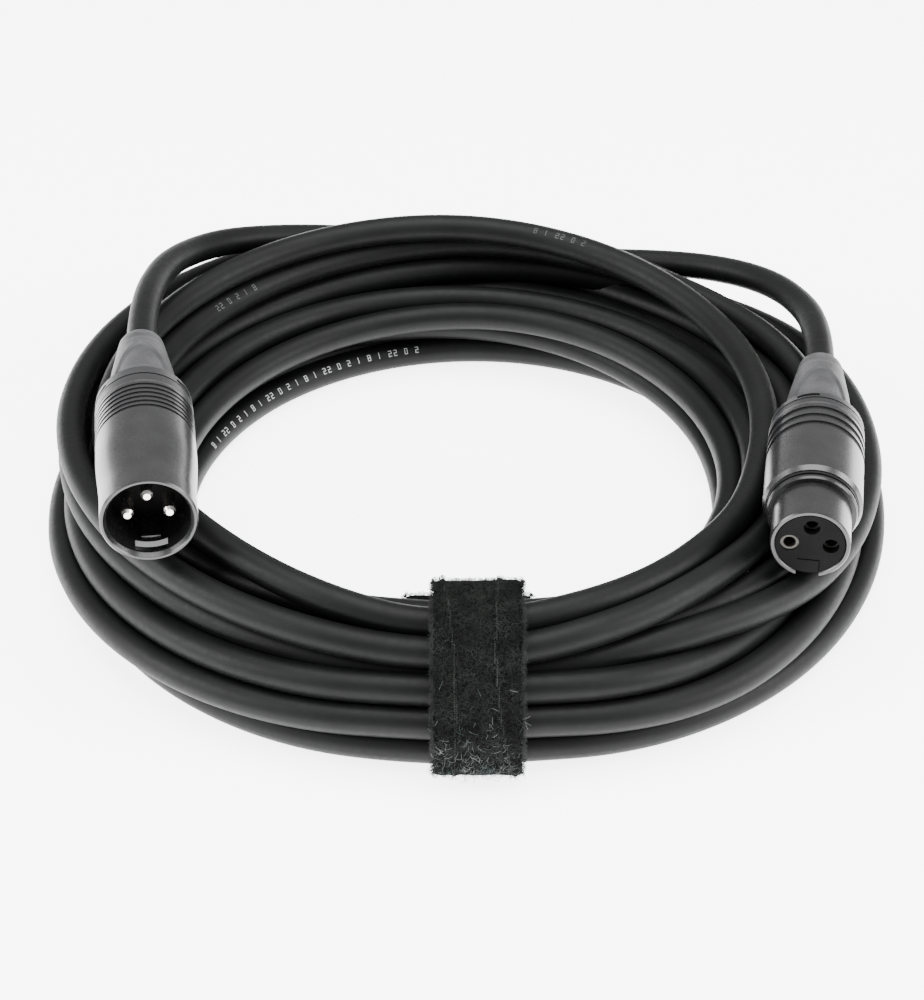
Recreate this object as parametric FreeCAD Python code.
import FreeCAD, Part
import math
import os

# XLR microphone cable, wound in a coil and tied with a hook-and-loop strap.
# Millimetres. +Z is up and the coil lies on the floor at z = 0.
# The strap is at the front (-Y), the male connector at the left (-X), the female one at the right.

os.makedirs("parts", exist_ok=True)

# ---------------------------------------------------------------- driving dimensions
cable_diameter = 6.4
floor_z = 0.0
centring = FreeCAD.Vector(-1.0, -4.5, 0)    # from the ring's centre to the middle of the whole object

# One row per 22.5 degrees of azimuth: azimuth, inner radius, outer radius and height of the bundle.
coil_stations = [
    (-90.0, 56.5, 84.5, 28.0),
    (-67.5, 58.0, 88.0, 26.0),
    (-45.0, 58.0, 90.0, 21.2),
    (-22.5, 57.5, 90.5, 17.7),
    (0.0, 57.5, 91.5, 17.4),
    (22.5, 58.5, 93.0, 18.6),
    (45.0, 60.0, 94.5, 23.0),
    (67.5, 60.5, 95.5, 28.0),
    (90.0, 60.5, 95.5, 30.0),
    (112.5, 60.5, 94.5, 30.0),
    (135.0, 59.5, 93.0, 29.8),
    (157.5, 57.0, 91.0, 29.8),
    (180.0, 55.0, 90.0, 29.8),
    (202.5, 55.5, 90.0, 29.8),
    (225.0, 57.0, 90.0, 29.5),
    (247.5, 57.5, 88.0, 28.5),
]
section_points = 12
section_squareness = 0.77        # 1 would be an ellipse
section_sink = 2.0               # the section dips this far under the floor and is cut off flat

# Connectors: place of the mating face's centre and how far the axis turns from +Y, seen from above.
male_face = FreeCAD.Vector(-60.2, -54.7, 40.5)
male_turn = -7.8
female_face = FreeCAD.Vector(68.8, -47.5, 29.5)
female_turn = 9.0

# Contacts of a 3-pin XLR connector.
contact_circle = 4.07            # from the axis to each contact
pin_radius = 1.2
shank_step = 0.3                 # a contact's shank in the insert is this much thinner in radius
socket_bore = 1.25
socket_radius = 1.85

# Male connector, distances back from the mating face.
male_mouth_radius = 8.2
male_front_radius = 9.5
grip_radius = 10.1
pin_tip = 2.3
male_insert_face = 12.4
male_clip_start = 13.0
male_swell_start = 6.0           # the shell swells from its front to its grip between these two
male_swell_end = 20.0
male_shell_end = 35.2
male_nut_end = 41.2
male_boot_end = 65.0

# Female connector.
nose_radius = 7.95
nose_bore = 6.95
nose_length = 10.4
female_shell_start = 12.6
female_clip_start = 14.1
flange_face = 13.6               # the step in the shell that the insert's flange rests on
female_shell_end = 37.0
female_nut_end = 41.4
female_boot_end = 66.5
shell_bore = 8.6
latch_half_width = 2.15
latch_pivot_back = 29.2
latch_pivot_down = 5.75
latch_pin_radius = 0.7

# Cable stretches between the boots and the coil: points of the route, in the ring's own frame.
boot_grip = 5.0                  # the cable's tube starts this far inside the boot's tip
male_route = [
    (-70.4, 29.5, 39.8),
    (-69.9, 41.5, 38.6),
    (-67.8, 53.5, 36.6),
    (-63.6, 64.2, 34.2),
    (-56.4, 72.4, 31.6),
    (-46.6, 78.0, 28.9),
    (-35.3, 82.0, 26.0),
    (-23.2, 85.0, 22.8),
]
female_route = [
    (80.7, 40.0, 28.7),
    (78.8, 50.3, 27.6),
    (75.0, 60.0, 26.3),
    (69.0, 68.2, 24.8),
    (61.0, 74.8, 23.2),
    (51.2, 80.2, 21.4),
    (40.0, 84.6, 19.4),
]

# Strap.
strap_x = 3.0
strap_width = 17.0
strap_thickness = 1.5
strap_gap = 0.3
# Corners of the hull of the tied strands' centres, as (radius, height).
tied_hull = [(59.2, 4.9), (80.2, 4.9), (80.4, 11.0), (77.2, 16.6), (70.6, 24.8), (63.6, 24.8), (59.0, 19.0)]
neck_half_length = strap_width / 2 + 1.0
tab_fold = (60.4, 30.6)          # radius and height of the fold at the top inner edge
head_x = 1.2
head_radius = 53.9               # from the ring's centre to the head's outer face
head_half_width = 12.5
head_height = 12.0
head_top = 21.8


# ---------------------------------------------------------------- helpers
def export(shape, node):
    """Moves a finished solid from the ring's frame to the object's frame and writes it."""
    solid = shape.copy()
    solid.translate(centring)
    solid.exportStep("parts/" + node + ".step")
    print(node, "volume", round(solid.Volume, 1), "solids", len(solid.Solids), "valid", solid.isValid())


def vec(x, y, z):
    return FreeCAD.Vector(x, y, z)


def revolved(profile):
    """Solid of revolution about Z from a closed outline of (distance along the axis, radius)."""
    corners = [vec(radius, 0, along) for along, radius in profile]
    face = Part.Face(Part.makePolygon(corners + corners[:1]))
    return face.revolve(vec(0, 0, 0), vec(0, 0, 1), 360)


def box(x0, x1, y0, y1, z0, z1):
    return Part.makeBox(x1 - x0, y1 - y0, z1 - z0, vec(x0, y0, z0))


def rod(radius, start, end):
    """Cylinder from one point to another."""
    return Part.makeCylinder(radius, start.distanceToPoint(end), start, end.sub(start))


def backward(turn):
    """Direction from a connector's mating face to its boot."""
    angle = math.radians(turn)
    return vec(math.sin(angle), math.cos(angle), 0)


def placed(shape, face_centre, turn):
    """Takes a connector piece from its own frame (z back, y up) to the ring's frame."""
    back = backward(turn)
    matrix = FreeCAD.Matrix(
        -back.y, 0, back.x, face_centre.x,
        back.x, 0, back.y, face_centre.y,
        0, 1, 0, face_centre.z,
        0, 0, 0, 1)
    moved = shape.copy()
    moved.Placement = FreeCAD.Placement(matrix).multiply(moved.Placement)
    return moved


def contact_places():
    """Centres of contacts 1, 2 and 3 on a male face; a female face is its mirror image."""
    return [(-contact_circle, 0.0), (contact_circle, 0.0), (0.0, contact_circle)]


def grooved(start, end, radius, count, groove_width, depth, first):
    """Outer outline of a band with square grooves, as (distance, radius) points."""
    pitch = (end - first) / count
    points = [(start, radius)]
    for index in range(count):
        front = first + index * pitch
        back = front + groove_width
        points += [(front, radius), (front, radius - depth), (back, radius - depth), (back, radius)]
    points.append((end, radius))
    return points


# ---------------------------------------------------------------- cable coil
def coil_ring():
    """Closed smooth ring through the sections of the stations, cut off flat at the floor."""
    ring_gain = 3 / (2 + math.cos(2 * math.pi / len(coil_stations)))
    section_gain = 3 / (2 + math.cos(2 * math.pi / section_points))
    rows = []
    for azimuth, inner, outer, height in coil_stations:
        middle = (inner + outer) / 2
        half_width = (outer - inner) / 2 * section_gain
        half_height = (height + section_sink) / 2
        angle = math.radians(azimuth)
        row = []
        for index in range(section_points):
            turn = 2 * math.pi * index / section_points
            side = math.copysign(abs(math.cos(turn)) ** section_squareness, math.cos(turn))
            rise = math.copysign(abs(math.sin(turn)) ** section_squareness, math.sin(turn))
            radius = (middle + half_width * side) * ring_gain
            z = half_height - section_sink + half_height * section_gain * rise
            row.append(vec(radius * math.cos(angle), radius * math.sin(angle), z))
        rows.append(row)
    across = list(range(len(coil_stations) + 1))
    around = list(range(section_points + 1))
    surface = Part.BSplineSurface()
    surface.buildFromPolesMultsKnots(rows, [1] * len(across), [1] * len(around), across, around,
                                     True, True, 3, 3)
    solid = Part.makeSolid(Part.makeShell([surface.toShape()]))
    if solid.Volume < 0:
        solid.reverse()
    under_floor = box(-150, 150, -150, 150, -20, floor_z)
    return solid.cut(under_floor)


def rounded_hull(corners, grow):
    """Closed wire at a distance outside a convex polygon in the YZ plane, with round corners."""
    edges = []
    count = len(corners)
    normals = []
    for index in range(count):
        r0, z0 = corners[index]
        r1, z1 = corners[(index + 1) % count]
        length = math.hypot(r1 - r0, z1 - z0)
        normals.append(((z1 - z0) / length, -(r1 - r0) / length))
    for index in range(count):
        r0, z0 = corners[index]
        r1, z1 = corners[(index + 1) % count]
        n = normals[index]
        m = normals[(index + 1) % count]
        start = vec(0, -(r0 + n[0] * grow), z0 + n[1] * grow)
        end = vec(0, -(r1 + n[0] * grow), z1 + n[1] * grow)
        edges.append(Part.LineSegment(start, end).toShape())
        middle_length = math.hypot(n[0] + m[0], n[1] + m[1])
        middle = ((n[0] + m[0]) / middle_length, (n[1] + m[1]) / middle_length)
        bow = vec(0, -(r1 + middle[0] * grow), z1 + middle[1] * grow)
        after = vec(0, -(r1 + m[0] * grow), z1 + m[1] * grow)
        edges.append(Part.Arc(end, bow, after).toShape())
    return Part.Wire(edges)


def hull_prism(grow, half_length):
    """The rounded hull as a solid bar along X, centred on the strap."""
    face = Part.Face(rounded_hull(tied_hull, grow))
    face.translate(vec(strap_x - half_length, 0, 0))
    return face.extrude(vec(2 * half_length, 0, 0))


def cable_coil():
    """The coil's outer shape, necked where the strap ties it."""
    ring = coil_ring()
    slot = box(strap_x - neck_half_length, strap_x + neck_half_length, -120, -40, -5, 60)
    neck = hull_prism(cable_diameter / 2, neck_half_length + 0.5)
    return ring.cut(slot).fuse(neck)


# ---------------------------------------------------------------- loose cable
def bent_path(points):
    """Straight runs joined by tangent arcs as large as the runs allow, as one wire."""
    edges = []
    radii = []
    start = points[0]
    for index in range(1, len(points) - 1):
        before = points[index].sub(points[index - 1])
        after = points[index + 1].sub(points[index])
        turn = before.getAngle(after)
        reach = 0.45 * min(before.Length, after.Length)
        radii.append(reach / math.tan(turn / 2))
        into = points[index].sub(FreeCAD.Vector(before).normalize().multiply(reach))
        out = points[index].add(FreeCAD.Vector(after).normalize().multiply(reach))
        chord_middle = into.add(out).multiply(0.5)
        inward = chord_middle.sub(points[index]).normalize()
        sag = radii[-1] / math.cos(turn / 2) - radii[-1]
        edges.append(Part.LineSegment(start, into).toShape())
        edges.append(Part.Arc(into, points[index].add(inward.multiply(sag)), out).toShape())
        start = out
    edges.append(Part.LineSegment(start, points[-1]).toShape())
    return Part.Wire(edges), radii


def cable_tube(points, name):
    """Round cable along a bent path; prints its radii and compares its volume with section x length."""
    path, radii = bent_path(points)
    first = points[1].sub(points[0])
    circle = Part.Wire(Part.Circle(points[0], first, cable_diameter / 2).toShape())
    tube = path.makePipeShell([circle], True, False)
    expected = math.pi * (cable_diameter / 2) ** 2 * path.Length
    print(name, "length", round(path.Length, 1), "radii", [round(r, 1) for r in radii])
    print(name, "volume over section x length", round(tube.Volume / expected, 4))
    return tube


def tail_points(face_centre, turn, boot_end, route):
    """Route of a loose stretch: straight out of the boot, then the listed points."""
    back = backward(turn)
    inside = face_centre + back * (boot_end - boot_grip)
    outside = face_centre + back * (boot_end + boot_grip)
    return [inside, outside] + [vec(*point) for point in route]


# ---------------------------------------------------------------- pieces that both connectors share
def contact(tip, seat_start, body_end, cup_end, outline_radius, cup_radius):
    """Turned contact: a free front, a thinner shank in the insert and a solder cup at its back."""
    seat = outline_radius - shank_step
    body = revolved([(tip, 0), (tip, outline_radius - 0.5), (tip + 0.6, outline_radius),
                     (seat_start, outline_radius), (seat_start, seat), (body_end, seat),
                     (body_end, cup_radius), (cup_end, cup_radius), (cup_end, 0)])
    cup = Part.makeCylinder(0.8, 3.5, vec(0, 0, cup_end - 3.0))
    return body.cut(cup)


def chuck(start, end):
    """Collet: a tube with a cone at the back, split by four slots from the back."""
    length = end - start
    body = revolved([(start, 3.27), (start, 6.7), (start + 0.62 * length, 6.7), (end, 4.6), (end, 3.27)])
    for index in range(2):
        slot = box(-0.4, 0.4, -8, 8, start + 3, end + 1)
        slot.rotate(vec(0, 0, 0), vec(0, 0, 1), 45 + 90 * index)
        body = body.cut(slot)
    return body


def boot_nut(start, end, first_slot):
    """Nut that screws into the shell's back, with an inner spigot and three key slots."""
    spigot = start - 5.2
    middle = (start + end) / 2
    body = revolved([(spigot, 7.0), (spigot, 8.5), (start, 8.5), (start, 9.8), (start + 0.3, 10.05),
                     (middle - 0.4, 10.05), (middle - 0.4, 9.8), (middle, 9.8), (middle, 10.05),
                     (end - 0.4, 9.9), (end, 9.4), (end, 7.75), (end - 0.9, 7.75), (end - 0.9, 8.4),
                     (end - 3.4, 8.4), (end - 3.4, 7.0)])
    for index in range(3):
        slot = box(-2.4, 2.4, 9.3, 11, middle + 0.5, middle + 1.4)
        slot.rotate(vec(0, 0, 0), vec(0, 0, 1), first_slot + 120 * index)
        body = body.cut(slot)
    return body


def boot_sleeve(nut_end, end):
    """Soft strain relief: a flange held by the nut and a taper down to the cable."""
    return revolved([(nut_end - 3.3, 3.3), (nut_end - 3.3, 4.4), (nut_end - 3.3, 8.3), (nut_end - 1.0, 8.3),
                     (nut_end - 1.0, 7.65), (nut_end + 1.0, 7.65), (nut_end + 8.0, 7.0),
                     (nut_end + 14.0, 6.2), (end - 4.0, 5.2), (end - 0.8, 4.9), (end, 4.0), (end, 3.3)])


def jacket_end(start, end):
    """The stripped end of the cable's jacket, inside the connector."""
    return Part.makeCylinder(cable_diameter / 2, end - start, vec(0, 0, start))


def conductor(radius, cup_place, cup_end, jacket_start):
    """A core or screen pigtail from the jacket's end into its solder cup."""
    cup = vec(cup_place[0], cup_place[1], 0)
    centre_share = 0.3
    inside = vec(cup.x, cup.y, cup_end - 2.6)
    elbow = vec(cup.x, cup.y, cup_end + 0.6)
    source = vec(cup.x * centre_share, cup.y * centre_share, jacket_start)
    straight = rod(radius, inside, elbow)
    slanted = rod(radius, elbow, source + (source - elbow).normalize() * 1.0)
    joint = Part.makeSphere(radius, elbow)
    jacket = Part.makeCylinder(5, 5, vec(0, 0, jacket_start))
    return straight.fuse(joint).fuse(slanted).cut(jacket).removeSplitter()


def ground_clip(start):
    """Thin sprung strip that links the screen to the shell."""
    strip = box(-1.2, 1.2, 7.6, 8.2, start, start + 4.5)
    tongue = box(-0.8, 0.8, 8.2, 8.5, start + 1.5, start + 3.0)
    return strip.fuse(tongue).removeSplitter()


# ---------------------------------------------------------------- male connector
def swell(start, end, front_radius, back_radius):
    """A smooth swell from one radius to another, half a cosine wave long."""
    steps = 14
    points = []
    for index in range(steps + 1):
        share = index / steps
        rise = (1 - math.cos(math.pi * share)) / 2
        points.append((start + share * (end - start), front_radius + rise * (back_radius - front_radius)))
    return points


def male_shell():
    outer = [(0.3, male_front_radius)] + swell(male_swell_start, male_swell_end, male_front_radius, grip_radius)
    outer += grooved(male_swell_end + 0.4, male_shell_end - 0.3, grip_radius, 6, 0.8, 0.25, 25.4)
    outer += [(male_shell_end, grip_radius - 0.3)]
    inner = [(male_shell_end, shell_bore), (male_insert_face - 0.05, shell_bore),
             (male_insert_face - 0.05, male_mouth_radius), (1.0, male_mouth_radius),
             (0.2, male_mouth_radius + 0.45), (0, male_mouth_radius + 0.6), (0, male_front_radius - 0.3)]
    body = revolved(outer + inner)
    rib = box(-1.9, 1.9, -8.35, -7.35, 5.4, male_insert_face - 0.1)
    window = box(-3.2, 3.2, -11, -7.5, 1.6, 4.6)
    return body.cut(window).fuse(rib).removeSplitter()


def male_insert():
    body = revolved([(male_insert_face, 0), (male_insert_face, 8.5), (18.0, 8.5), (18.0, 6.9), (21.0, 6.9),
                     (21.0, 0)])
    for x, y in contact_places():
        body = body.cut(Part.makeCylinder(pin_radius - shank_step + 0.02, 12, vec(x, y, male_insert_face - 1)))
        body = body.cut(Part.makeCylinder(1.55, 12, vec(x, y, 18.0)))
    return body.cut(ground_clip(male_clip_start))


# ---------------------------------------------------------------- female connector
def female_shell():
    outer = [(0.25, nose_radius), (female_shell_start, nose_radius), (female_shell_start, 9.5),
             (female_shell_start + 1.0, grip_radius)]
    outer += grooved(20.0, female_shell_end - 0.6, grip_radius, 3, 1.9, 0.35, 28.0)
    outer += [(female_shell_end, grip_radius - 0.3)]
    inner = [(female_shell_end, shell_bore), (flange_face, shell_bore), (flange_face, nose_bore),
             (0.25, nose_bore),
             (0, nose_bore + 0.2), (0, nose_radius - 0.25)]
    body = revolved(outer + inner)
    keyway = box(-2.3, 2.3, -9, -6.5, -1, nose_length - 0.2)
    window = box(-3.4, 3.4, -11, -7.2, 17.0, 25.8)
    return body.cut(keyway).cut(window).cut(latch_pin_solid())


def female_front_ring():
    return revolved([(nose_length, nose_radius + 0.02), (nose_length, 8.9), (nose_length + 0.5, 9.15),
                     (nose_length + 1.1, 9.15), (nose_length + 1.1, 8.8), (nose_length + 1.5, 8.8),
                     (nose_length + 1.5, 9.3), (female_shell_start - 0.05, 9.3),
                     (female_shell_start - 0.05, nose_radius + 0.02)])


def female_insert():
    body = revolved([(0.15, 0), (0.15, nose_bore - 0.1), (flange_face - 0.1, nose_bore - 0.1),
                     (flange_face + 0.05, 8.5),
                     (20.0, 8.5), (20.0, 0)])
    boss = Part.makeCylinder(6.9, 4.5, vec(0, 0, 19.5)).cut(box(-8, 8, -8, -2.7, 19, 25))
    body = body.fuse(boss)
    channel = box(-2.35, 2.35, -9, -3.2, 5.2, 26)
    button_room = box(-3.3, 3.3, -9, -4.8, 17.2, 21)
    body = body.cut(channel).cut(button_room)
    for index, (x, y) in enumerate(contact_places()):
        face_hole = socket_radius + 0.03 if index == 0 else 1.65
        body = body.cut(Part.makeCylinder(face_hole, 4, vec(-x, y, -1)))
        body = body.cut(Part.makeCylinder(socket_radius + 0.03, 30, vec(-x, y, socket_start(index))))
    outline = box(-2.3, 2.3, -3.85, -3.6, -1, 0.6).fuse(box(-2.3, -2.05, -7.5, -3.6, -1, 0.6))
    return body.cut(outline).cut(ground_clip(female_clip_start)).removeSplitter()


def socket_start(index):
    """Socket 1 comes nearly to the face, so that it mates first; the others start deeper."""
    return 0.5 if index == 0 else 2.0


def socket(index):
    start = socket_start(index)
    body = revolved([(start, 0), (start, socket_radius), (16.0, socket_radius), (16.0, 1.5), (25.0, 1.5),
                     (25.0, 0)])
    bore = Part.makeCylinder(socket_bore, 13.0, vec(0, 0, start - 1))
    cup = Part.makeCylinder(0.8, 4, vec(0, 0, 22.0))
    return body.cut(bore).cut(cup)


def latch_pin_solid():
    """The lever's hinge pin, across the shell and pressed into its wall."""
    centre = vec(0, -latch_pivot_down, latch_pivot_back)
    return rod(latch_pin_radius, centre + vec(-7.0, 0, 0), centre + vec(7.0, 0, 0))


def female_latch():
    """Lever with a hook at the front, a push button in the middle and an eye round the hinge pin."""
    half = latch_half_width
    arm = box(-half, half, -6.5, -5.0, 5.6, latch_pivot_back)
    hook_outline = [vec(0, -5.5, 5.6), vec(0, -8.0, 5.6), vec(0, -9.1, 7.4), vec(0, -9.1, 8.8), vec(0, -5.5, 8.8)]
    hook = Part.Face(Part.makePolygon(hook_outline + hook_outline[:1])).extrude(vec(2 * half, 0, 0))
    hook.translate(vec(-half, 0, 0))
    button = box(-3.0, 3.0, -10.75, -6.0, 17.6, 25.4)
    button = button.makeFillet(0.5, [edge for edge in button.Edges if edge.BoundBox.YMax < -10.5])
    centre = vec(0, -latch_pivot_down, latch_pivot_back)
    eye = rod(1.5, centre + vec(-half, 0, 0), centre + vec(half, 0, 0))
    bore = rod(latch_pin_radius + 0.05, centre + vec(-9, 0, 0), centre + vec(9, 0, 0))
    return arm.fuse(hook).fuse(button).fuse(eye).cut(bore).removeSplitter()


def latch_spring():
    """Small compression spring between the lever and the insert."""
    wire_radius = 0.2
    height = 1.75
    helix = Part.makeHelix(0.55, height, 1.1)
    circle = Part.Wire(Part.Circle(vec(1.1, 0, 0), vec(0, 1, 0), wire_radius).toShape())
    coil = Part.Wire(helix).makePipeShell([circle], True, True)
    coil.rotate(vec(0, 0, 0), vec(1, 0, 0), -90)
    coil.translate(vec(0, -5.0 + wire_radius + 0.05, 22.2))
    return coil


# ---------------------------------------------------------------- strap
def band(inner_grow, outer_grow):
    half = strap_width / 2
    return hull_prism(outer_grow, half).cut(hull_prism(inner_grow, half + 1))


def strap_wrap():
    clear = cable_diameter / 2 + 0.1
    return band(clear, clear + strap_thickness)


def strap_tab():
    """The free end: over the top and down the front, on the outside of the wrap."""
    inner = cable_diameter / 2 + 0.1 + strap_thickness + strap_gap
    layer = band(inner, inner + strap_thickness)
    keep = box(strap_x - 20, strap_x + 20, -120, -tab_fold[0] - 1.6, 3.2, 60)
    return layer.common(keep)


def strap_head():
    """The wider end with its slot, flat against the inside of the coil behind the wrap."""
    inner = -head_radius
    plate = box(head_x - head_half_width, head_x + head_half_width, inner, inner + strap_thickness,
                head_top - head_height, head_top)
    slot = box(head_x - strap_width / 2 - 0.3, head_x + strap_width / 2 + 0.3, inner - 1, inner + 3,
               head_top - 5.0, head_top - 2.6)
    corners = [edge for edge in plate.Edges if edge.BoundBox.YLength > 1]
    return plate.makeFillet(1.6, corners).cut(slot)


# ---------------------------------------------------------------- build
def place_and_export(shape, side, node):
    face_centre, turn = (male_face, male_turn) if side == "male" else (female_face, female_turn)
    export(placed(shape, face_centre, turn), side + "_" + node)


def build_male():
    place_and_export(male_shell(), "male", "shell")
    place_and_export(male_insert(), "male", "insert")
    place_and_export(ground_clip(male_clip_start), "male", "ground_clip")
    place_and_export(chuck(28.5, 37.0), "male", "chuck")
    place_and_export(boot_nut(male_shell_end + 0.05, male_nut_end, 60), "male", "boot_nut")
    place_and_export(boot_sleeve(male_nut_end, male_boot_end), "male", "boot_sleeve")
    place_and_export(jacket_end(29.5, male_boot_end - boot_grip), "male", "cable_end")
    names = ["screen", "hot_core", "cold_core"]
    for index, (x, y) in enumerate(contact_places()):
        pin = contact(pin_tip, male_insert_face - 0.2, 18.2, 25.0, pin_radius, 1.5)
        pin.translate(vec(x, y, 0))
        place_and_export(pin, "male", "pin_" + str(index + 1))
        place_and_export(conductor(0.65, (x, y), 25.0, 29.5), "male", names[index])


def build_female():
    place_and_export(female_shell(), "female", "shell")
    place_and_export(female_front_ring(), "female", "front_ring")
    place_and_export(female_insert(), "female", "insert")
    place_and_export(female_latch(), "female", "latch")
    place_and_export(latch_pin_solid(), "female", "latch_pin")
    place_and_export(latch_spring(), "female", "latch_spring")
    place_and_export(ground_clip(female_clip_start), "female", "ground_clip")
    place_and_export(chuck(30.8, 38.0), "female", "chuck")
    place_and_export(boot_nut(female_shell_end + 0.05, female_nut_end, -15), "female", "boot_nut")
    place_and_export(boot_sleeve(female_nut_end, female_boot_end), "female", "boot_sleeve")
    place_and_export(jacket_end(30.5, female_boot_end - boot_grip), "female", "cable_end")
    names = ["screen", "hot_core", "cold_core"]
    for index, (x, y) in enumerate(contact_places()):
        tube = socket(index)
        tube.translate(vec(-x, y, 0))
        place_and_export(tube, "female", "socket_" + str(index + 1))
        place_and_export(conductor(0.65, (-x, y), 25.0, 30.5), "female", names[index])


def build_cable():
    export(cable_coil(), "cable_coil")
    male_points = tail_points(male_face, male_turn, male_boot_end, male_route)
    female_points = tail_points(female_face, female_turn, female_boot_end, female_route)
    export(cable_tube(male_points, "male tail"), "male_tail_cable")
    export(cable_tube(female_points, "female tail"), "female_tail_cable")


def build_strap():
    export(strap_wrap(), "strap_wrap")
    export(strap_tab(), "strap_tab")
    export(strap_head(), "strap_head")


build_cable()
build_strap()
build_male()
build_female()
